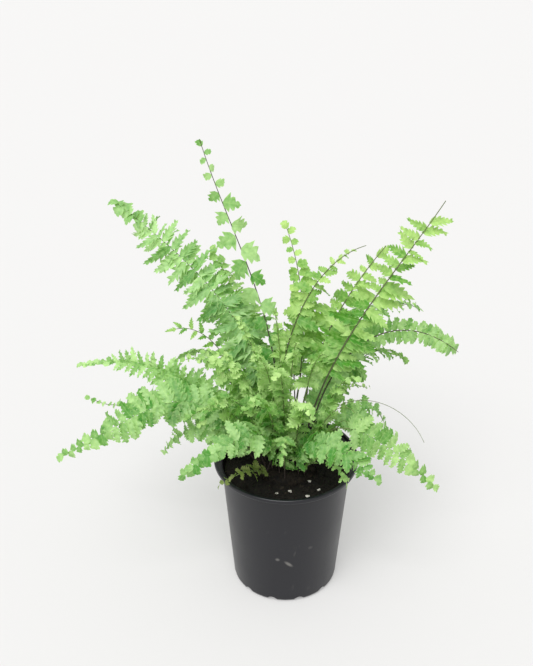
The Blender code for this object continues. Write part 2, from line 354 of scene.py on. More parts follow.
def ring_middle(ring):
    """The stem's middle in a ring, and the leaflet's point if one corner is pulled out."""
    if len(ring) == 1:
        return ring[0], None
    spread = [(sum((p - q).length for q in ring), p) for p in ring]
    spread.sort(key=lambda item: item[0])
    near = [p for _, p in spread[:3]]
    far = spread[3][1]
    pairs = [(near[0], near[1]), (near[0], near[2]), (near[1], near[2])]
    low, high = max(pairs, key=lambda pair: (pair[0] - pair[1]).length)
    middle = (low + high) / 2
    pulled = (far - middle).length > 2.2 * (low - high).length / 2
    return (middle, far) if pulled else (sum(ring, Vector()) / 4, None)


def read_spine(node):
    """The points of a frond's stem, with the way to its left side and the reach of its leaflets there."""
    read = [ring_middle(ring) for ring in rings_of(node)]
    points = [middle for middle, _ in read]
    sides, reaches, turn = [], [], 1
    for k, (middle, leaflet) in enumerate(read):
        after = points[min(k + 1, len(points) - 1)]
        before = points[max(k - 1, 0)]
        tangent = (after - before).normalized()
        if leaflet is None:
            sides.append(None)
            reaches.append(None)
            continue
        way = leaflet - middle
        way -= way.dot(tangent) * tangent
        sides.append(way.normalized() * turn)
        reaches.append(way.length)
        turn = -turn
    first = next((k for k, side in enumerate(sides) if side), None)
    if first is None:
        return points, [Vector((0, 1, 0))] * len(points), [0.0] * len(points)
    last = max(k for k, side in enumerate(sides) if side)
    for k in range(len(points)):
        if sides[k] is None:
            sides[k] = sides[first] if k < first else sides[last]
            reaches[k] = reaches[first] * 0.9 if k < first else reaches[last]
    uppers = [(b - a).cross(side) for a, b, side in zip(points, points[1:], sides)]
    if sum(upper.z for upper in uppers) < 0:
        sides = [-side for side in sides]
    return points, sides, reaches


FRONDS = sorted(n for n in frame["nodes"] if n.startswith("frond_"))
SPINES = {name: read_spine(name) for name in FRONDS}
longest = max(max(reaches) for _, _, reaches in SPINES.values())
print(len(FRONDS), "fronds, the longest leaflet", round(longest / MM), "mm")

# %% [markdown]
# ## The leaflets
#
# A leaflet is a lobed sheet about as big as a fingernail. It could be a flat picture with a cut-out
# outline, but then it would have no curl. Here it is a small grid: rows from its base to its tip, five
# points across each row. The outer points follow the lobed edge, and the sheet is folded along its midrib,
# curled down at its tip and ruffled from lobe to lobe. A few dozen faces are enough, because more than two
# thousand of them grow on the plant.
#
# One plant carries several kinds: long toothed leaflets on its tall fronds, broad overlapping ones on the
# arching fronds, small fans in the middle, and a few like ivy leaves. Each kind is one line of numbers.


# %% Leaflet shapes
def shape(lobes, width, peak, taper, depth, lean, swell, ruffle, twist=0.6):
    """A kind of leaflet: how many lobes on a side, its width beside its length, where it is widest (lower
    is nearer the base), how bluntly it ends (lower is blunter), the depth of the notches, how far the lobes
    lean forward, how round they are, how far they stand off its plane, and its largest twist."""
    return dict(locals())


SHAPES = {
    "broad": shape(4, 0.54, 0.5, 0.5, 0.4, 0.5, 0.95, 0.15),
    "tile": shape(5, 0.5, 0.5, 0.4, 0.4, 0.35, 0.95, 0.14, 0.3),
    "cut": shape(5, 0.36, 0.45, 0.7, 0.5, 0.8, 0.8, 0.15),
    "feather": shape(4, 0.44, 0.48, 0.75, 0.45, 0.7, 0.75, 0.12),
    "fan": shape(4, 0.85, 0.8, 0.6, 0.45, 0.4, 0.95, 0.18),
    "ivy": shape(3, 1.0, 0.5, 0.9, 0.5, 0.2, 0.75, 0.12, 0.3),
    "plume": shape(5, 0.44, 0.4, 0.7, 0.45, 0.6, 0.85, 0.15, 0.4),
    "oblong": shape(3, 0.6, 0.55, 0.4, 0.35, 0.35, 0.9, 0.1, 0.2),
    "round": shape(2, 0.95, 0.8, 0.6, 0.3, 0.35, 0.95, 0.08, 0.3),
}
print("there are", len(SHAPES), "kinds of leaflet")

# %% [markdown]
# ### The lobed edge
#
# Each lobe takes three rows of the grid: the notch below it, its fullest place, and its point. An envelope
# curve says how wide the leaflet may be at that height, and chance makes every lobe a little different.

# %% Leaflet edge
STALK = 0.03  # the leaflet's own short stalk, as a share of its length
BLADE_END = 0.9  # where the last lobe ends


def edge_rows(shape, rng):
    """Half of a leaflet's edge from base to tip: (row height, distance out, edge's height, lift) by row."""
    lobes, half = shape["lobes"], shape["width"] / 2
    rows = [(0.0, 0.015, 0.0, 0.0), (STALK, 0.02, STALK, 0.0)]
    start, end = STALK + 0.02, BLADE_END

    def envelope(v):
        return half * math.sin(math.pi * min(1.0, max(0.0, v)) ** shape["peak"]) ** shape["taper"]

    for k in range(lobes):
        low, swell, high = (start + (end - start) * (k + part) / lobes for part in (0.1, 0.4, 0.8))
        notch = envelope(low + 0.04) * (1 - shape["depth"] * rng.uniform(0.8, 1.2))
        full = envelope(swell) * shape["swell"] * rng.uniform(0.9, 1.1)
        point = envelope(high) * rng.uniform(0.85, 1.15)
        lift = shape["ruffle"] * rng.uniform(-1.0, 1.0)
        rows.append((low, max(0.03, notch), low + 0.03, 0.0))
        rows.append((swell, full, swell + shape["lean"] * full, lift * 0.7))
        rows.append((high, point, high + shape["lean"] * point, lift))
    rows.append((end, envelope(end) * 0.6, end + 0.01, 0.0))
    rows.append((1.0, 0.0, 1.0, 0.0))
    return rows


# %% [markdown]
# ### One leaflet
#
# The grid is bent in its own small frame: it twists along its length, folds up along the midrib, curls
# down to the tip and leans a little aside. A UV map keeps where each point lies on the flat leaflet.


# %% Leaflet mesh
def mesh_of(name, bm):
    """Ends a bmesh and gives its mesh."""
    mesh = bpy.data.meshes.new(name)
    bm.to_mesh(mesh)
    bm.free()
    return mesh


def make_leaflet(name, shape, seed):
    """One leaflet of length 1 along +Y, its upper side to +Z."""
    rng = random.Random(seed)
    fold, curl = rng.uniform(-0.1, 0.35), rng.uniform(0.05, 0.45)
    bend, twist = rng.uniform(-0.15, 0.15), rng.uniform(-1.0, 1.0) * shape["twist"]
    left, right = edge_rows(shape, rng), edge_rows(shape, rng)
    bm = bmesh.new()
    uv = bm.loops.layers.uv.new("UVMap")
    where, grid = {}, []

    def place(across, along, lift):
        turn = twist * along
        lift += fold * abs(across)
        aside = across * math.cos(turn) - lift * math.sin(turn) + bend * along * along
        height = across * math.sin(turn) + lift * math.cos(turn) - curl * along * along
        return (aside, along - curl * 0.25 * along**3, height)

    for l, r in zip(left, right):
        row = []
        for side, (height, out, edge, lift) in ((-1, l), (1, r)):
            for share in ((1.0, 0.5) if side < 0 else (0.5, 1.0)):
                along = height + (edge - height) * share
                vert = bm.verts.new(place(side * out * share, along, lift * share))
                where[vert] = (0.5 + side * share / 2, along)
                row.append(vert)
        middle = bm.verts.new(place(0.0, (l[0] + r[0]) / 2, 0.0))
        where[middle] = (0.5, (l[0] + r[0]) / 2)
        row.insert(2, middle)
        grid.append(row)
    for low, high in zip(grid, grid[1:]):
        for k in range(4):
            face = bm.faces.new((low[k], low[k + 1], high[k + 1], high[k]))
            face.smooth = True
            for loop in face.loops:
                loop[uv].uv = where[loop.vert]
    bmesh.ops.remove_doubles(bm, verts=bm.verts, dist=0.002)
    return bpy.data.objects.new(name, mesh_of(name, bm))


VARIANTS, TIP_VARIANTS = 8, 4
FIRST_SEED, TIP_SEED = 100, 300


def leaflet_collection(kind):
    """The variants of a kind, then a few small round leaflets for the frond's tip."""
    made = bpy.data.collections.new(f"leaflets_{kind}")
    for k in range(VARIANTS):
        made.objects.link(make_leaflet(f"{kind}_{k:02d}", SHAPES[kind], FIRST_SEED + k))
    for k in range(TIP_VARIANTS):
        made.objects.link(make_leaflet(f"{kind}_{VARIANTS + k:02d}", SHAPES["round"], TIP_SEED + k))
    return made


LEAFLETS = {kind: leaflet_collection(kind) for kind in SHAPES}
faces = len(LEAFLETS["broad"].objects[0].data.polygons)
print("a leaflet has", faces, "faces")

# %% [markdown]
# ## A frond in Geometry Nodes
#
# A frond repeats one thing along a curve, so Geometry Nodes grow it. The input is the bare line of the
# stem with three attributes on its points: `side`, the way to its left, `reach`, how long the leaflets are
# there, and `thick`, the stem's radius. The tree thickens the line into a round stem, sets points along it
# at half the pitch, turns them left and right in turn, and puts a leaflet on each.
#
# First come a few helpers that any tree here can use. A random number takes its own turn of one seed, so
# every frond differs from the others, and does so in the same way each time.


# %% Tree helpers
def ask(tree, name, kind, value=None):
    """A named input of a tree."""
    made = tree.interface.new_socket(name=name, in_out="INPUT", socket_type=f"NodeSocket{kind}")
    if value is not None:
        made.default_value = value
    return made


def start_tree(name, inputs):
    """A Geometry Nodes tree with its group input and a geometry output."""
    tree = bpy.data.node_groups.new(name, "GeometryNodeTree")
    tree.is_modifier = True
    ask(tree, "Geometry", "Geometry")
    for socket_name, kind, value in inputs:
        ask(tree, socket_name, kind, value)
    tree.interface.new_socket(name="Geometry", in_out="OUTPUT", socket_type="NodeSocketGeometry")
    board = Board(tree)
    first = board.add("NodeGroupInput")
    given = {s.name: board.other(first, s.name) for s in first.socket.node.outputs if s.name}
    return tree, board, given


def named(board, name, kind="FLOAT"):
    """A field: the attribute of that name."""
    return board.add(
        "GeometryNodeInputNamedAttribute", {"data_type": kind}, name=name, output="Attribute"
    )


def store(board, geometry, name, value, domain="POINT"):
    """Keeps a number on the geometry as an attribute."""
    return board.add(
        "GeometryNodeStoreNamedAttribute",
        {"data_type": "FLOAT", "domain": domain},
        geometry=geometry,
        name=name,
        value=value,
    )


def chances(board, seed):
    """Gives a maker of random numbers, which takes their range and their own turn of the seed."""

    def chance(low, high, turn, kind="FLOAT"):
        settings = {"data_type": kind}
        return board.add("FunctionNodeRandomValue", settings, min=low, max=high, seed=seed + turn)

    return chance


def choices(board, collection):
    """The objects of a collection, as instances to pick from by number."""
    return board.add(
        "GeometryNodeCollectionInfo",
        collection=collection,
        separate_children=True,
        reset_children=True,
    )


# %% [markdown]
# ### A round stem
#
# A real stalk is round and smooth. The line becomes a Catmull-Rom curve, is cut into even steps and swept
# with a small circle. Before that, every point notes how far along it lies, for the colours.

# %% Round stem
STEM_STEP = 3.0 * MM


def round_stem(board, line, sides=6):
    """A line of edges as a smooth curve that knows how far along it is, and as a round stem."""
    curve = board.add("GeometryNodeMeshToCurve", mesh=line)
    curve = board.add("GeometryNodeCurveSplineType", {"spline_type": "CATMULL_ROM"}, curve=curve)
    curve = board.add("GeometryNodeResampleCurve", {"mode": "LENGTH"}, curve=curve, length=STEM_STEP)
    share = board.add("GeometryNodeSplineParameter", output="Factor")
    curve = store(board, curve, "along", share)
    ring = board.add("GeometryNodeCurvePrimitiveCircle", {"mode": "RADIUS"}, resolution=sides, radius=1.0)
    stem = board.add(
        "GeometryNodeCurveToMesh",
        curve=curve,
        profile_curve=ring,
        scale=named(board, "thick"),
        fill_caps=True,
    )
    return curve, board.add("GeometryNodeSetShadeSmooth", geometry=stem, shade_smooth=True)


# %% [markdown]
# ### What a frond can be asked for
#
# These are the tree's named inputs, each with the value of an ordinary frond. Shares run from 0 at the
# stem's root to 1 at its tip.

# %% Frond inputs
FROND_INPUTS = [
    ("Leaflets", "Collection", None),
    ("Leaf", "Material", None),
    ("Stem", "Material", None),
    ("Pitch", "Float", 8.5 * MM),  # from one leaflet to the next on the same side
    ("First Leaflet", "Float", 0.18),  # the share where leaflets begin
    ("Last Leaflet", "Float", 1.0),  # and where they end
    ("Length", "Float", 15.0 * MM),  # of the longest leaflet
    ("Roll", "Float", 0.0),  # turns the whole blade on its stem
    ("Sweep", "Float", 0.3),  # leans the leaflets to the tip
    ("Fold", "Float", 0.1),  # lifts both sides into a V
    ("Hang", "Float", 0.15),  # lets them droop
    ("Level", "Float", 0.0),  # lays them level at 1
    ("Cover", "Float", 1.0 * MM),  # how far they stand off the stem
    ("Inset", "Float", 1.0 * MM),  # how far they start beyond its middle, so that they hide it
    ("Spread", "Float", 0.3),  # crowds them at the root above 0, at the tip below
    ("Bark", "Float", 0.3),  # how old and dark the stem is
    ("Louver", "Float", 0.35),  # turns each on its own length, as the slats of a blind
    ("Wobble", "Float", 0.5),  # how much chance is in every angle
    ("Tint", "Float", 0.5),  # the frond's green, from bluish to yellowish
    # Tone paints light and shade on a frond: higher where light falls on it, lower where it lies in shade
    ("Tone", "Float", 0.5),  # its lightness
    ("Tip Share", "Float", 0.86),  # past it small round leaflets grow
    ("Tip Size", "Float", 0.85),  # and how large those are
    ("Uneven", "Float", 0.28),  # how much the leaflets' sizes differ
    ("Wither", "Float", 0.0),  # how brown and dry it is
    ("Seed", "Int", 0),
]
print("a frond can be asked for", len(FROND_INPUTS), "things")

# %% [markdown]
# ### Where the leaflets stand
#
# Points are made from nothing but their number. Each works out its share of the stem, and Sample Curve
# then tells it the place, the direction of the stem and what was stored there.


# %% Leaflet places
def leaflet_places(b, given, curve):
    """Points along the stem, two for each pitch, and what the frond is like at each of them."""
    leafy_share = given["Last Leaflet"] - given["First Leaflet"]
    length = b.add("GeometryNodeCurveLength", curve=curve)
    count = b.sum("ROUND", length * leafy_share / (given["Pitch"] * 0.5)) + 1.0
    index = b.add("GeometryNodeInputIndex")
    step = index / (count - 1.0)
    step = step * (1.0 - given["Spread"]) + given["Spread"] * step * step
    along = given["First Leaflet"] + leafy_share * step

    def sampled(name, kind):
        return b.add(
            "GeometryNodeSampleCurve",
            {"data_type": kind, "mode": "FACTOR"},
            output="Value",
            curves=curve,
            value=named(b, name, kind),
            factor=along,
        )

    side = sampled("side", "FLOAT_VECTOR")
    tangent, position = b.other(side, "Tangent"), b.other(side, "Position")
    side = b.add(
        "ShaderNodeVectorRotate",
        {"rotation_type": "AXIS_ANGLE"},
        vector=side,
        axis=tangent,
        angle=given["Roll"],
    )
    side = b.vector("NORMALIZE", side)
    upper = b.vector("NORMALIZE", b.vector("CROSS_PRODUCT", tangent, side))
    turn = 1.0 - 2.0 * b.sum("MODULO", index, 2.0)
    rise = b.vector("SUBTRACT", b.longer(upper, given["Cover"]), b.longer(side, turn * given["Inset"]))
    return SimpleNamespace(
        points=b.add("GeometryNodePoints", count=count, position=b.vector("ADD", position, rise)),
        along=along,
        side=side,
        tangent=tangent,
        upper=upper,
        turn=turn,
        reach=sampled("reach", "FLOAT"),
        last=b.sum("GREATER_THAN", index, count - 1.5),
    )


# %% [markdown]
# ### How the leaflets turn
#
# A leaflet grows along +Y with its face to +Z. So a rotation is made from two directions: the way that it
# should grow, which is a sum of pulls, and the blade's upper side. Near the tip they sweep forward, and the
# very last one points straight on. A small turn by chance follows in the leaflet's own frame.


# %% Leaflet turns
def leaflet_turns(b, given, at, chance):
    sweep = given["Sweep"] + chance(-0.5, 0.5, 1) * given["Wobble"] + at.along**4.0 * 0.7 + at.last * 4.0
    fold = given["Fold"] + chance(-0.7, 0.7, 2) * given["Wobble"]
    way = b.vector("ADD", b.longer(at.side, at.turn), b.longer(at.tangent, sweep))
    way = b.vector("ADD", way, b.longer(at.upper, fold))
    flatten = b.add("ShaderNodeCombineXYZ", x=1.0, y=1.0, z=1.0 - given["Level"])
    way = b.vector("MULTIPLY", way, flatten)
    way = b.vector("ADD", way, b.add("ShaderNodeCombineXYZ", x=0.0, y=0.0, z=-given["Hang"]))
    turned = b.add(
        "FunctionNodeAxesToRotation",
        {"primary_axis": "Y", "secondary_axis": "Z"},
        primary_axis=way,
        secondary_axis=at.upper,
    )
    rolls = b.add(
        "ShaderNodeCombineXYZ",
        x=chance(-0.5, 0.5, 3) * given["Wobble"],
        y=at.turn * given["Louver"] + chance(-1.1, 1.1, 4) * given["Wobble"],
        z=chance(-0.4, 0.4, 5) * given["Wobble"],
    )
    return b.add(
        "FunctionNodeRotateRotation", {"rotation_space": "LOCAL"}, rotation=turned, rotate_by=rolls
    )


# %% [markdown]
# ### The whole frond
#
# Each point picks a leaflet by number from the collection, where the small round ones for the tip come
# last. The stem and the leaflets are joined, the instances become real faces, and each side of the join
# gets its material.


# %% The frond tree
def frond_tree():
    tree, b, given = start_tree("fern_frond", FROND_INPUTS)
    chance = chances(b, given["Seed"])
    marked, stem = round_stem(b, given["Geometry"])
    at = leaflet_places(b, given, marked)
    near_tip = b.sum("GREATER_THAN", at.along, given["Tip Share"])
    pick = b.sum("FLOOR", chance(0.0, VARIANTS - 0.01, 6)) * (1.0 - near_tip)
    tip_pick = (VARIANTS + b.sum("FLOOR", chance(0.0, TIP_VARIANTS - 0.01, 7))) * near_tip
    size = at.reach * given["Length"] * (1.0 + chance(-1.0, 1.0, 8) * given["Uneven"])
    grown = b.add(
        "GeometryNodeInstanceOnPoints",
        points=at.points,
        instance=choices(b, given["Leaflets"]),
        pick_instance=True,
        instance_index=pick + tip_pick,
        rotation=leaflet_turns(b, given, at, chance),
        scale=size * (1.0 - near_tip * (1.0 - given["Tip Size"])),
    )
    # tone: the frond's painted light or shade, plus a random lightness of each leaflet
    grown = store(b, grown, "tone", given["Tone"] + chance(-0.5, 0.5, 9), "INSTANCE")
    grown = store(b, grown, "along", at.along, "INSTANCE")
    grown = store(b, grown, "leafy", 1.0, "INSTANCE")
    both = b.add("GeometryNodeJoinGeometry", geometry=[stem, grown])
    plain = b.add("GeometryNodeRealizeInstances", geometry=both)
    plain = store(b, plain, "tint", given["Tint"])
    plain = store(b, plain, "bark", given["Bark"])
    plain = store(b, plain, "wither", given["Wither"])
    plain = b.add("GeometryNodeSetMaterial", geometry=plain, material=given["Leaf"])
    is_stem = b.add("FunctionNodeCompare", {"operation": "LESS_THAN"}, a=named(b, "leafy"), b=0.5)
    plain = b.add("GeometryNodeSetMaterial", geometry=plain, selection=is_stem, material=given["Stem"])
    b.add("NodeGroupOutput", geometry=plain)
    return tree


FROND_TREE = frond_tree()
print("the frond tree has", len(FROND_TREE.nodes), "nodes")

# %% [markdown]
# ### Growing with a tree
#
# The tree is a modifier on a source object. Its inputs are set by their identifiers before anything is
# worked out, the result is copied out as a plain mesh, and the source goes.


# %% Growing with a tree
def add_object(name, data):
    made = bpy.data.objects.new(name, data)
    bpy.context.scene.collection.objects.link(made)
    return made


def settled(source, name):
    """The object as its modifiers leave it, as a plain object at the origin. The source goes."""
    graph = bpy.context.evaluated_depsgraph_get()
    mesh = bpy.data.meshes.new_from_object(source.evaluated_get(graph), depsgraph=graph)
    mesh.name = name
    source.modifiers.clear()
    bpy.data.objects.remove(source)
    return add_object(name, mesh)


def grow(name, mesh, tree, values):
    """Runs a tree on a mesh, and gives the result as a plain object at the origin."""
    source = add_object(f"{name}_source", mesh)
    modifier = source.modifiers.new("grow", "NODES")
    modifier.node_group = tree
    for item in tree.interface.items_tree:
        if item.in_out == "INPUT" and item.name in values:
            modifier[item.identifier] = values[item.name]
    grown = settled(source, name)
    kept = grown.data.attributes
    for helper in ("side", "reach", "thick", "leafy"):
        if helper in kept:
            kept.remove(kept[helper])
    return grown


def spine_mesh(name, points, sides, reaches, thick, thin):
    """The stem's line as a mesh of edges, with the attributes that the tree reads."""
    mesh = bpy.data.meshes.new(name)
    mesh.from_pydata(points, [(k, k + 1) for k in range(len(points) - 1)], [])
    last = len(points) - 1
    radii = [thick + (thin - thick) * k / last for k in range(len(points))]
    mesh.attributes.new("side", "FLOAT_VECTOR", "POINT").data.foreach_set(
        "vector", [c for side in sides for c in side]
    )
    mesh.attributes.new("reach", "FLOAT", "POINT").data.foreach_set("value", reaches)
    mesh.attributes.new("thick", "FLOAT", "POINT").data.foreach_set("value", radii)
    return mesh


# %% [markdown]
# ## Growing the fronds
#
# Fronds differ by age and place. `HABITS` gives the usual way of each group: its kind of leaflet, the
# spacing and length of the leaflets, how they fold or hang, and their green. Then `special` notes what
# single fronds do otherwise. The tallest has a few large leaflets that hang like ivy. The three long ones
# at the right hold their leaflets nearly level and end in a bare tip. Those over the lip overlap like tiles.
# Deep in the bush `First_Leaflet` leaves the lower stems bare, because a fern sheds the leaflets that get no
# light.
#
# Two settings aren't inputs of the tree: `full` says how much shorter the leaflets get along the blade
# (lower keeps them long), and `stem` is the stem's radius at its root.

# %% Habits
HABITS = {
    "tall": dict(kind="feather", Pitch=5.0 * MM, Length=20 * MM, Hang=0.4, Tint=0.6, Tone=0.4),
    "arching": dict(kind="tile", Pitch=4.6 * MM, Length=16 * MM, Fold=-0.1, Hang=0.1, Tint=0.35),
    "inner": dict(kind="fan", Pitch=3.6 * MM, Length=11.5 * MM, Tint=0.65, Tone=0.66, Wobble=0.9),
    "back": dict(kind="broad", Pitch=4.6 * MM, Length=15 * MM, Fold=-0.1, Hang=0.2, Tint=0.4),
}
HABITS["arching"].update(Bark=0.1, Cover=1.6 * MM, Inset=1.6 * MM, Wobble=0.35, Louver=0.2, Uneven=0.18)
HABITS["inner"].update(Bark=0.1, First_Leaflet=0.15)
SPECIAL = {name: {} for name in FRONDS}


def special(names, **habit):
    """Notes what the named fronds do otherwise than their group."""
    for name in names.split():
        SPECIAL[f"frond_{name}"].update(habit)


# the tallest, like ivy
special("tall_1", kind="ivy", full=0.4, Pitch=19 * MM, Length=18.5 * MM, Hang=0.9, Sweep=0.0, Spread=-0.55)
special("tall_1", Tint=0.3, Tone=0.28, Bark=1.0, Cover=0.0, Inset=0.0, Wobble=0.3, Uneven=0.2, Tip_Size=0.65)
special("tall_1", First_Leaflet=0.36, Last_Leaflet=0.98)
# the dense one at the upper left
special("tall_2", kind="cut", full=0.3, Pitch=3.4 * MM, Length=26 * MM, Hang=0.5, Sweep=0.2, Spread=0.5)
special("tall_2", Tint=0.25, Tone=0.56, Bark=0.8, Fold=-0.1, First_Leaflet=0.3, Tip_Share=0.9, Tip_Size=0.6)
# the three long ones at the right
PLUMES = "tall_3 tall_4 tall_5"
special(PLUMES, kind="broad", full=0.3, stem=0.8 * MM, Level=0.8, Hang=0.0, Fold=0.0, Sweep=0.1, Tint=0.85)
special(PLUMES, Bark=0.7, Cover=-0.8 * MM, Inset=1.0 * MM, Wobble=0.55, Louver=0.3, Uneven=0.34)
special(PLUMES, Last_Leaflet=0.94, Tip_Share=1.0)
special("tall_3", kind="plume", Pitch=7.2 * MM, Length=25 * MM, Roll=0.25, Tone=0.2)
special("tall_3", First_Leaflet=0.34, Last_Leaflet=0.92)
special("tall_4", Pitch=7.5 * MM, Length=20 * MM, Tone=0.34, First_Leaflet=0.45)
special("tall_5", Pitch=5.5 * MM, Length=18 * MM, Tone=0.45, First_Leaflet=0.28, full=0.7, Roll=0.2)
special("tall_5", stem=0.7 * MM)
# the one with small round leaflets in the middle
special("tall_6", kind="round", full=0.3, Pitch=7.2 * MM, Length=12 * MM, Tint=0.9, Tone=0.55, Bark=0.7)
special("tall_6", Inset=0.0, Uneven=0.15, First_Leaflet=0.52, Tip_Size=0.9)

# the three to the left
special("arching_1", kind="plume", full=0.75, Pitch=4.4 * MM, Length=20 * MM, Fold=1.0, Bark=0.6)
special("arching_2", kind="round", Pitch=8 * MM, Length=14 * MM, Bark=0.5, Roll=-0.5)
special("arching_3", full=0.55, Pitch=4.4 * MM, Length=20.5 * MM, Roll=-0.75, Spread=0.7, Tone=0.34)
special("arching_3 arching_6", Wobble=0.25)
# over the front of the lip, and to the lower right
special("arching_4", full=0.35, Pitch=4.0 * MM, Roll=-0.8, Spread=0.4, Tone=0.28, Wobble=0.4, Uneven=0.28)
special("arching_5", kind="broad", full=0.35, Pitch=4.0 * MM, Length=15.5 * MM, Roll=0.8, Spread=0.4)
special("arching_5", Tone=0.03, Wobble=0.5, Uneven=0.3)
special("arching_6", full=0.35, Pitch=6.4 * MM, Length=17.5 * MM, Roll=0.8, Spread=0.3, Tint=0.5)
special("arching_6", First_Leaflet=0.42)
special("arching_3 arching_4 arching_5 arching_6", Inset=0.6 * MM, Louver=0.1, Sweep=0.35)
special("arching_3 arching_4 arching_5 arching_6", Tip_Share=0.75, Tip_Size=0.75, Last_Leaflet=0.97)
special("arching_5", Tip_Share=0.87)
# the one that arches to the right, close and even
special("arching_7", kind="oblong", full=0.1, Pitch=5 * MM, Length=12.5 * MM, Roll=0.45, Spread=0.0, Bark=1.0)
special("arching_7", Hang=0.0, Fold=0.0, Cover=-0.3 * MM, Inset=0.3 * MM, Wobble=0.2, Louver=0.1, Uneven=0.12)
special("arching_7", Tip_Size=1.0, Last_Leaflet=0.96)
# small ones between them
special("arching_8", Roll=0.7, First_Leaflet=0.42)
special("arching_9", Roll=-0.6)
special("arching_10", kind="plume", full=0.15, Pitch=7 * MM, Length=12 * MM, Fold=0.9, Tint=0.9, Tone=0.1)
special("arching_10", Bark=0.9, Cover=0.0, Inset=0.0, Wobble=0.3, Tip_Share=1.0)
special("arching_11", kind="oblong", Pitch=5 * MM, Length=9 * MM, Roll=0.6, Tint=0.7)

# fronds in the bush painted lighter or darker, as painted light and shade
special("inner_3 inner_5 inner_13 inner_14", Tone=0.85)
special("inner_1", Tone=0.7)
special("inner_4", Tone=0.75)
special("inner_2 inner_7 inner_11 inner_15", Tone=0.3)
special("inner_8", Tone=0.25)
special("inner_9", Tone=0.35, Last_Leaflet=0.65)
special("inner_15", Last_Leaflet=0.55)
special("inner_5", First_Leaflet=0.75)
special("inner_6", First_Leaflet=0.62)
special("back_2 back_3 back_4", First_Leaflet=0.5)
special("back_6", First_Leaflet=0.54)
# the withered sprig on the soil, and two that hang over the soil
special("inner_16", kind="broad", Pitch=4 * MM, Length=10 * MM, Tint=1.0, Tone=0.0, Wither=0.7)
special("inner_17 inner_18", kind="tile", Pitch=4 * MM, Length=14 * MM, Tint=0.6, Tone=0.2, Wobble=0.5)
special("inner_17 inner_18", Tip_Share=1.0)
print(sum(1 for habit in SPECIAL.values() if habit), "fronds have ways of their own")

# %% Fronds
USUAL_FULLNESS = 0.5
STEM_RADIUS = 0.62 * MM
STEM_TIP_SHARE = 0.4  # the stem's radius at its tip, as a share of that at its root
SEEDS_APART = 11  # more than the turns that one frond takes of its seed

total = 0
for number, name in enumerate(FRONDS):
    habit = HABITS[name.split("_")[1]] | SPECIAL[name]
    kind, full = habit.pop("kind"), habit.pop("full", USUAL_FULLNESS)
    thick = habit.pop("stem", STEM_RADIUS)
    habit.update(Leaflets=LEAFLETS[kind], Leaf=LEAF, Stem=STEM, Seed=SEEDS_APART * number)
    points, sides, reaches = SPINES[name]
    longest = max(reaches)
    reaches = [(reach / longest) ** full for reach in reaches]
    line = spine_mesh(name + "_line", points, sides, reaches, thick, thick * STEM_TIP_SHARE)
    habit = {key.replace("_", " "): value for key, value in habit.items()}
    frond = grow(f"{name}_leafy", line, FROND_TREE, habit)
    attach(frond, "root")
    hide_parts(name)
    frond.data.calc_loop_triangles()
    total += len(frond.data.loop_triangles)
print("the fronds have", total, "triangles")

# %% [markdown]
# ## Bare stems and the runner
#
# Two old stalks have lost their leaflets, and a thin runner arches out over the rim to root elsewhere.
# They are fronds without leaflets, so a tree with only the stem's half of the work makes them.


# %% Bare stems
def bare_tree():
    inputs = [("Stem", "Material", None), ("Bark", "Float", 1.0)]
    tree, b, given = start_tree("bare_stem", inputs)
    _, stem = round_stem(b, given["Geometry"], sides=8)
    stem = store(b, stem, "bark", given["Bark"])
    plain = b.add("GeometryNodeRealizeInstances", geometry=stem)
    plain = b.add("GeometryNodeSetMaterial", geometry=plain, material=given["Stem"])
    b.add("NodeGroupOutput", geometry=plain)
    return tree


BARE_TREE = bare_tree()
BARE = {"bare_stem_1": (0.6, 1.0), "bare_stem_2": (0.6, 1.0), "runner": (0.3, 0.5)}  # radius in mm, bark
BARE_TIP_SHARE = 0.6
for name, (radius, bark) in BARE.items():
    points, sides, reaches = read_spine(name)
    line = spine_mesh(name + "_line", points, sides, reaches, radius * MM, BARE_TIP_SHARE * radius * MM)
    stalk = grow(f"{name}_stalk", line, BARE_TREE, {"Stem": STEM, "Bark": bark})
    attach(stalk, "root")
    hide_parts(name)
    print(name, "stands", round(max(p.z for p in points) / MM), "mm high")

# %% [markdown]
# ## The pot's plastic
#
# A nursery pot is moulded from black plastic. It is matt, not quite black, and it picks up fine scratches
# and pale smudges on the bench. Noise stretched along the wall makes the scratches, a coarse one keeps
# them to dusty patches, and three soft spots are rubbed marks low on the front. All of them change only the
# colour and the roughness.


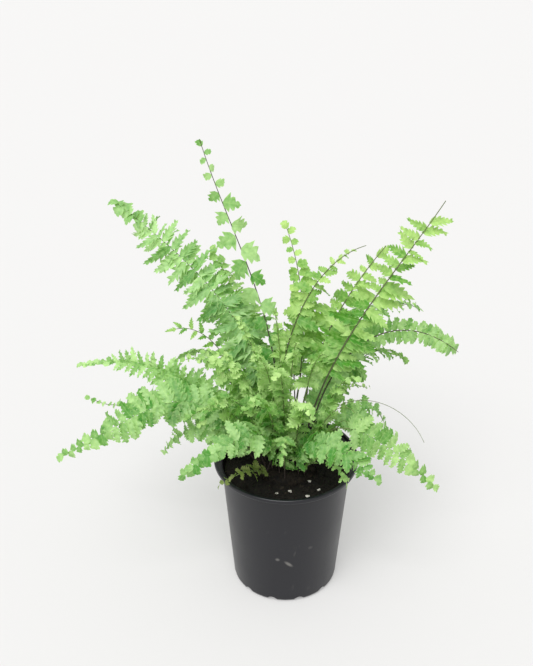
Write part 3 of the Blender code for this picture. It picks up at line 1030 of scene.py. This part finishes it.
# %% Plastic
def plastic_material():
    made, board = start_material("nursery_plastic")
    place = board.add("ShaderNodeTexCoord", output="Object")
    grain = board.add("ShaderNodeTexNoise", vector=place, scale=900.0, detail=2.0, output="Fac")
    cloud = board.add("ShaderNodeTexNoise", vector=place, scale=28.0, detail=4.0, output="Fac")
    stretched = board.add("ShaderNodeMapping", vector=place, scale=(1.0, 1.0, 0.25))
    rubbed = board.add("ShaderNodeTexNoise", vector=stretched, scale=150.0, detail=3.0, output="Fac")
    dust = board.between(cloud, 0.52, 0.72)
    marks = board.between(rubbed, 0.64, 0.74) * dust

    def smudge(x, z, long, tall, lean):
        """A pale rubbed mark around a point of the front wall, in mm: its place, half-lengths and slope."""
        at = board.add(
            "ShaderNodeMapping",
            {"vector_type": "TEXTURE"},
            vector=place,
            location=(x * MM, -50 * MM, z * MM),
            rotation=(0.0, lean, 0.0),
            scale=(long * MM, 20 * MM, tall * MM),
        )
        return 1.0 - board.between(board.vector("LENGTH", at, output="Value"), 0.2, 1.0)

    marks = board.limit(
        marks * 0.35
        + smudge(2.1, 45.7, 6.0, 2.2, 0.75) * 0.7
        + smudge(-7.1, 50.5, 2.6, 2.3, 0.0) * 0.5
        + smudge(20.0, 61.2, 2.8, 2.4, 0.4) * 0.2
    )
    colour = board.mix(cloud, seen(8, 8, 16), seen(16, 17, 25))
    colour = board.mix(marks, colour, seen(126, 124, 120))
    bump = board.add("ShaderNodeBump", strength=0.12, distance=0.0002, height=grain + cloud * 2.0)
    shader = board.add(
        "ShaderNodeBsdfPrincipled",
        base_color=colour,
        roughness=board.limit(cloud * 0.2 + marks * 0.3 + 0.27),
        normal=bump,
    )
    surface(board, shader)
    return made


PLASTIC = plastic_material()

# %% [markdown]
# ## The pot
#
# The pot is a turned shape, so its section is drawn once and a Screw modifier spins it. The frame gives the
# height, the rim, the neck and the base. The lip flares out and ends in a rounded bead, the corner above the
# base is round, and the middle of the underside is lifted a little. A Boolean then cuts the drain notches,
# which let the pot drain on a flat shelf.

# %% Pot section
_, POT_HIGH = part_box("pot")
HEIGHT, RIM = POT_HIGH.z, POT_HIGH.x
WALL = 1.4 * MM
CORNER = 4.0 * MM
NECK_DROP = 9.0 * MM  # from the top of the lip to the straight wall
BEAD = 1.1 * MM  # radius of the lip's rounded edge
LIFT = 0.5 * MM  # how far the middle of the underside stands above the foot


def radius_near(node, height, band):
    """The widest radius of a CAD node within a band of heights."""
    spots = [v.co for v in frame["nodes"][node].data.vertices]
    return max(math.hypot(p.x, p.y) for p in spots if abs(p.z - height) < band)


NECK = radius_near("pot", HEIGHT - NECK_DROP, 0.5 * MM)
BASE = radius_near("pot", CORNER, 0.5 * MM)
print("pot: rim", round(RIM / MM, 1), "neck", round(NECK / MM, 1), "base", round(BASE / MM, 1), "mm")


def arc(centre, radius, start, end, steps):
    """Points of an arc in the section, from one angle to another in degrees."""
    turns = [math.radians(start + (end - start) * k / steps) for k in range(steps + 1)]
    return [(centre[0] + radius * math.cos(a), centre[1] + radius * math.sin(a)) for a in turns]


def flare(offset, steps=10):
    """The wall from the neck up to the lip, which leans out more and more."""
    points = []
    for k in range(steps + 1):
        share = k / steps
        rise = (NECK_DROP - 3.2 * MM) * share
        out = (RIM - NECK - 1.2 * MM) * share**2.2
        points.append((NECK + out + offset, HEIGHT - NECK_DROP + rise))
    return points


def pot_section():
    """Down the outside from the lip's bead, along the underside, and up the inside."""
    lip = arc((RIM - BEAD, HEIGHT - BEAD), BEAD, 90, 0, 5)
    lip += arc((RIM - BEAD, HEIGHT - 2.6 * MM), BEAD, 0, -70, 4)
    outside = flare(0.0)[::-1]
    corner = arc((BASE - CORNER, CORNER), CORNER, 0, -90, 8)
    under = [(BASE - CORNER - 1.5 * MM, 0.0), (BASE - CORNER - 2.2 * MM, LIFT), (0.0, LIFT)]
    floor_up = [(0.0, LIFT + WALL)]
    floor_up += arc((BASE - CORNER, CORNER + LIFT), CORNER - WALL, -90, 0, 6)
    inside = flare(-WALL)
    return lip + outside + corner + under + floor_up + inside + [(RIM - 2.4 * MM, HEIGHT)]


print("the section has", len(pot_section()), "points")

# %% Drain notches
NOTCHES = 12
NOTCH_RADIUS = 4.6 * MM
NOTCH_DEPTH = 9.0 * MM  # how far a notch runs in under the base
NOTCH_OUT = 2.0 * MM  # how far its cutter starts outside the wall


def notch_cutter():
    """A ring of short rods that open the corner between wall and base."""
    bm = bmesh.new()
    for k in range(NOTCHES):
        place = (
            Matrix.Rotation(math.tau * (k + 0.5) / NOTCHES, 4, "Z")
            @ Matrix.Translation((BASE - NOTCH_DEPTH / 2 + NOTCH_OUT, 0, 0))
            @ Matrix.Rotation(math.pi / 2, 4, "Y")
        )
        bmesh.ops.create_cone(
            bm,
            cap_ends=True,
            segments=20,
            radius1=NOTCH_RADIUS,
            radius2=NOTCH_RADIUS,
            depth=NOTCH_DEPTH + 2 * NOTCH_OUT,
            matrix=place,
        )
    return add_object("notch_cutter", mesh_of("notch_cutter", bm))


# %% Pot
POT_SEGMENTS = 144


def make_pot():
    section = pot_section()
    mesh = bpy.data.meshes.new("pot_section")
    edges = [(k, (k + 1) % len(section)) for k in range(len(section))]
    on_axis = {k for k, (r, _) in enumerate(section) if r == 0.0}
    edges = [e for e in edges if not set(e) <= on_axis]
    mesh.from_pydata([(r, 0, z) for r, z in section], edges, [])
    mesh.materials.append(PLASTIC)
    pot = add_object("pot_turned", mesh)
    turn = pot.modifiers.new("turned", "SCREW")
    turn.axis, turn.angle = "Z", math.tau
    turn.steps = turn.render_steps = POT_SEGMENTS
    turn.use_merge_vertices, turn.merge_threshold = True, 0.01 * MM
    cutter = notch_cutter()
    cut = pot.modifiers.new("drain_notches", "BOOLEAN")
    cut.operation, cut.object = "DIFFERENCE", cutter
    made = settled(pot, "nursery_pot")
    bpy.data.objects.remove(cutter)
    made.data.shade_smooth()
    made.data.set_sharp_from_angle(angle=math.radians(35))
    return made


pot = make_pot()
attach(pot, "root")
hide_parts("pot")
print("the pot has", len(pot.data.polygons), "faces")

# %% [markdown]
# ## Soil
#
# Potting soil is a loose mix: black peat, brown bark crumbs, a few threads of root and white perlite. A
# bumpy texture on a flat disc would look painted, so the soil has three layers: a closed body that rises
# and falls by noise, crumbs scattered over it, and a few grains of perlite on top.


# %% Soil materials
def crumb_material(name, dark, light, scale):
    """A dull, crumbly finish between two colours. Each crumb has its own tone."""
    made, board = start_material(name)
    place = board.add("ShaderNodeTexCoord", output="Object")
    tone = board.add("ShaderNodeAttribute", {"attribute_name": "tone"}, output="Fac")
    mottle = board.add("ShaderNodeTexNoise", vector=place, scale=scale, detail=4.0, output="Fac")
    share = board.limit(board.between(mottle, 0.35, 0.7) * 0.4 + tone**3.0 * 0.7)
    bump = board.add("ShaderNodeBump", strength=0.7, distance=0.0006, height=mottle)
    shader = board.add(
        "ShaderNodeBsdfPrincipled",
        base_color=board.mix(share, dark, light),
        roughness=mottle * 0.2 + 0.75,
        normal=bump,
        specular_ior_level=0.25,
    )
    surface(board, shader)
    return made


SOIL = crumb_material("potting_mix", seen(12, 11, 8), seen(44, 38, 30), 420.0)
FIBRE = crumb_material("old_fibre", seen(16, 14, 11), seen(56, 48, 37), 300.0)
PERLITE = crumb_material("perlite", seen(186, 182, 172), seen(236, 233, 226), 500.0)

# %% [markdown]
# ### Scattering crumbs
#
# The crumbs are a job for Geometry Nodes again: points spread over the upper faces, a lump on each, turned
# any way and of any size up to a limit.


# %% Crumbs
def lump(name, seed, stretch, detail=1, rough=0.35):
    """A rough grain about 1 across, stretched along the axes."""
    bm = bmesh.new()
    bmesh.ops.create_icosphere(bm, subdivisions=detail, radius=0.5)
    for v in bm.verts:
        v.co *= 1 + rough * noise.noise(v.co * 2.3 + Vector((seed, 3 * seed, 0)))
        v.co = Vector((a * b for a, b in zip(v.co, stretch)))
    for face in bm.faces:
        face.smooth = detail > 1
    return bpy.data.objects.new(name, mesh_of(name, bm))


LUMP_KINDS = 6  # in each collection of lumps


def lumps(name, stretches):
    made = bpy.data.collections.new(name)
    for k, stretch in enumerate(stretches):
        made.objects.link(lump(f"{name}_{k}", k + 1, stretch))
    return made


CRUMBS = lumps(
    "crumbs",
    [(1, 1, 0.8), (1.3, 0.8, 0.6), (0.8, 0.8, 0.8), (1.6, 0.6, 0.35), (2.4, 0.28, 0.22), (1.1, 0.9, 0.5)],
)


FACES_UP = 0.35  # crumbs lie where a face looks up at least this much


def scatter_tree():
    inputs = [
        ("Crumbs", "Collection", None),
        ("Density", "Float", 100000.0),
        ("Smallest", "Float", 1.0 * MM),
        ("Largest", "Float", 3.0 * MM),
        ("Finish", "Material", None),
        ("Seed", "Int", 0),
    ]
    tree, b, given = start_tree("scattered_crumbs", inputs)
    facing = b.add("GeometryNodeInputNormal", output="True Normal")
    upward = b.add("ShaderNodeSeparateXYZ", vector=facing, output="Z")
    spread = b.add(
        "GeometryNodeDistributePointsOnFaces",
        mesh=given["Geometry"],
        selection=b.sum("GREATER_THAN", upward, FACES_UP),
        density=given["Density"],
        seed=given["Seed"],
    )
    chance = chances(b, given["Seed"])
    half_turn = (math.pi, math.pi, math.pi)
    grains = b.add(
        "GeometryNodeInstanceOnPoints",
        points=spread,
        instance=choices(b, given["Crumbs"]),
        pick_instance=True,
        instance_index=b.sum("FLOOR", chance(0.0, LUMP_KINDS - 0.01, 1)),
        rotation=chance(tuple(-a for a in half_turn), half_turn, 2, "FLOAT_VECTOR"),
        scale=given["Smallest"] + (given["Largest"] - given["Smallest"]) * chance(0.0, 1.0, 3) ** 2.5,
    )
    grains = store(b, grains, "tone", chance(0.0, 1.0, 4), "INSTANCE")
    both = b.add("GeometryNodeJoinGeometry", geometry=[given["Geometry"], grains])
    plain = b.add("GeometryNodeRealizeInstances", geometry=both)
    plain = b.add("GeometryNodeSetMaterial", geometry=plain, material=given["Finish"])
    b.add("NodeGroupOutput", geometry=plain)
    return tree


SCATTER_TREE = scatter_tree()


def turned_body(name, rings, segments):
    """A closed body of level rings, each (radius, height of x and y or a number), bottom first."""
    bm = bmesh.new()
    loops = []
    for radius, height in rings:
        loop = []
        for k in range(segments):
            a = math.tau * k / segments
            x, y = radius * math.cos(a), radius * math.sin(a)
            z = height(x, y) if callable(height) else height
            loop.append(bm.verts.new((x, y, z)))
        loops.append(loop)
    for low, high in zip(loops, loops[1:]):
        for k in range(segments):
            after = (k + 1) % segments
            bm.faces.new((low[k], low[after], high[after], high[k]))
    bm.faces.new(loops[0][::-1])
    bm.faces.new(loops[-1])
    for face in bm.faces:
        face.smooth = True
    return mesh_of(name, bm)


# %% Soil
SOIL_LOW, SOIL_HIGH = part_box("soil")
SOIL_RADIUS = SOIL_HIGH.x
SOIL_TOP = CROWN_LOW.z - 0.3 * MM
SOIL_RINGS, SOIL_SEGMENTS = 26, 90


def soil_height(x, y):
    """Uneven soil, a little higher round the crown and lower at the wall."""
    away = math.hypot(x, y) / SOIL_RADIUS
    bumps = 1.6 * noise.noise(Vector((x, y, 0)) * 95) + 0.9 * noise.noise(Vector((x, y, 5)) * 230)
    return SOIL_TOP + (bumps + 1.2 - 2.2 * away**2) * MM


def make_soil():
    top = [(SOIL_RADIUS * (1 - k / SOIL_RINGS), soil_height) for k in range(SOIL_RINGS)]
    body = [(SOIL_RADIUS * 0.7, SOIL_LOW.z), (SOIL_RADIUS * 0.86, SOIL_LOW.z + 8 * MM)]
    mesh = turned_body("soil_body", body + top, SOIL_SEGMENTS)
    values = {"Crumbs": CRUMBS, "Density": 150000.0, "Finish": SOIL, "Seed": 3}
    values.update(Smallest=0.8 * MM, Largest=4.2 * MM)
    return grow("soil_surface", mesh, SCATTER_TREE, values)


soil = make_soil()
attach(soil, "root")
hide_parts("soil")
print("the soil has", len(soil.data.polygons), "faces")

# %% [markdown]
# ## The crown
#
# All the fronds rise from one low mound of old stem bases, root hairs and brown scales. It gets the same
# scattered treatment, with more of the long thin lumps, in a fibrous brown.


# %% Crown
CROWN_RINGS, CROWN_SEGMENTS = 14, 60


def crown_height(x, y):
    radius = CROWN_HIGH.x
    share = min(1.0, math.hypot(x, y) / radius)
    dome = (CROWN_HIGH.z - CROWN_LOW.z) * math.sqrt(1 - share**2)
    return CROWN_LOW.z + dome + 0.8 * MM * (1 - share) * noise.noise(Vector((x, y, 9)) * 160)


FIBRES = lumps(
    "fibres",
    [(2.6, 0.3, 0.3), (3.2, 0.22, 0.25), (1.4, 0.8, 0.4), (2.2, 0.4, 0.2), (1, 1, 0.8), (3.6, 0.18, 0.2)],
)


def make_crown():
    rings = [(CROWN_HIGH.x * 0.98, CROWN_LOW.z - 1.2 * MM)]
    rings += [(CROWN_HIGH.x * (1 - k / CROWN_RINGS), crown_height) for k in range(CROWN_RINGS)]
    mesh = turned_body("crown_body", rings, CROWN_SEGMENTS)
    values = {"Crumbs": FIBRES, "Density": 420000.0, "Finish": FIBRE, "Seed": 21}
    values.update(Smallest=0.9 * MM, Largest=3.6 * MM)
    return grow("crown_mound", mesh, SCATTER_TREE, values)


crown = make_crown()
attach(crown, "root")
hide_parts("crown")
print("the crown has", len(crown.data.polygons), "faces")

# %% [markdown]
# ## Perlite
#
# Perlite is glass that was heated until it foamed: a white, dull grain with small hollows. Each grain in
# the frame gives the place and the size of one here.


# %% Perlite
def make_perlite(name):
    low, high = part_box(name)
    size = (high - low).x
    seed = 9 + 7 * int(name.split("_")[1])
    grain = lump(f"{name}_grain", seed, (1.0, 0.85, 0.75), detail=3, rough=0.8)
    grain.data.transform(Matrix.Translation((low + high) / 2) @ Matrix.Scale(size, 4))
    grain.data.materials.append(PERLITE)
    bpy.context.scene.collection.objects.link(grain)
    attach(grain, "root")
    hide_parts(name)


GRAINS = sorted(n for n in frame["nodes"] if n.startswith("perlite_"))
for name in GRAINS:
    make_perlite(name)
print("there are", len(GRAINS), "grains of perlite")

# %% [markdown]
# ## Floor, light and camera
#
# The plant stands on a plain pale floor that runs far past the view. One wide sun lights it from the front
# left, and a white sky fills the shadows. The floor glows a little by itself, which keeps its shadow soft
# and pale. The sky looks brighter to the camera than the light that it gives, so that it is nearly as pale
# as the floor. From low down a faint step still shows between them, but this camera looks down on the plant
# at about thirty degrees and sees only floor.

# %% Floor
FLOOR = 40.0  # half of the floor's side
corners = [(-FLOOR, -FLOOR, 0), (FLOOR, -FLOOR, 0), (FLOOR, FLOOR, 0), (-FLOOR, FLOOR, 0)]
floor_mesh = bpy.data.meshes.new("floor")
floor_mesh.from_pydata(corners, [], [(0, 1, 2, 3)])
floor = add_object("floor", floor_mesh)
floor_finish, board = start_material("floor_white")
paper = board.add(
    "ShaderNodeBsdfPrincipled",
    base_color=(0.46, 0.456, 0.452, 1),
    roughness=0.9,
    emission_color=(1.0, 0.995, 0.985, 1),
    emission_strength=0.27,
)
surface(board, paper)
floor_mesh.materials.append(floor_finish)
print("the floor is", round(2 * FLOOR), "m wide")

# %% Light
SKY_LIGHT, SKY_GLOW = 0.72, 0.2
world = bpy.data.worlds.new("studio")
world.use_nodes = True
world.node_tree.nodes.clear()
sky = Board(world.node_tree)
looked_at = sky.add("ShaderNodeLightPath", output="Is Camera Ray")
strength = looked_at * SKY_GLOW + SKY_LIGHT
backdrop = sky.add("ShaderNodeBackground", color=(1.0, 1.0, 1.0, 1), strength=strength)
sky.add("ShaderNodeOutputWorld", surface=backdrop)
bpy.context.scene.world = world
bpy.context.scene.view_settings.view_transform = "Standard"

key = bpy.data.lights.new("key", "SUN")
key.energy, key.angle = 2.6, math.radians(40)
key_light = add_object("key", key)
key_light.rotation_euler = Vector((0.25, 0.75, -1.25)).to_track_quat("-Z", "Y").to_euler()

# %% Camera
DISTANCE, ELEVATION = 0.85, math.radians(30.47)
AIM = Vector((-0.0162, 0, 0.24))
camera_data = bpy.data.cameras.new("camera")
camera_data.lens = 59.13
camera = add_object("camera", camera_data)
camera.location = AIM + DISTANCE * Vector((0, -math.cos(ELEVATION), math.sin(ELEVATION)))
camera.rotation_euler = (math.pi / 2 - ELEVATION, 0, 0)
bpy.context.scene.camera = camera
print("the camera stands", DISTANCE, "m from the plant")

# %% [markdown] ## The end
# The finished plant may not be larger than its frame, apart from a little.
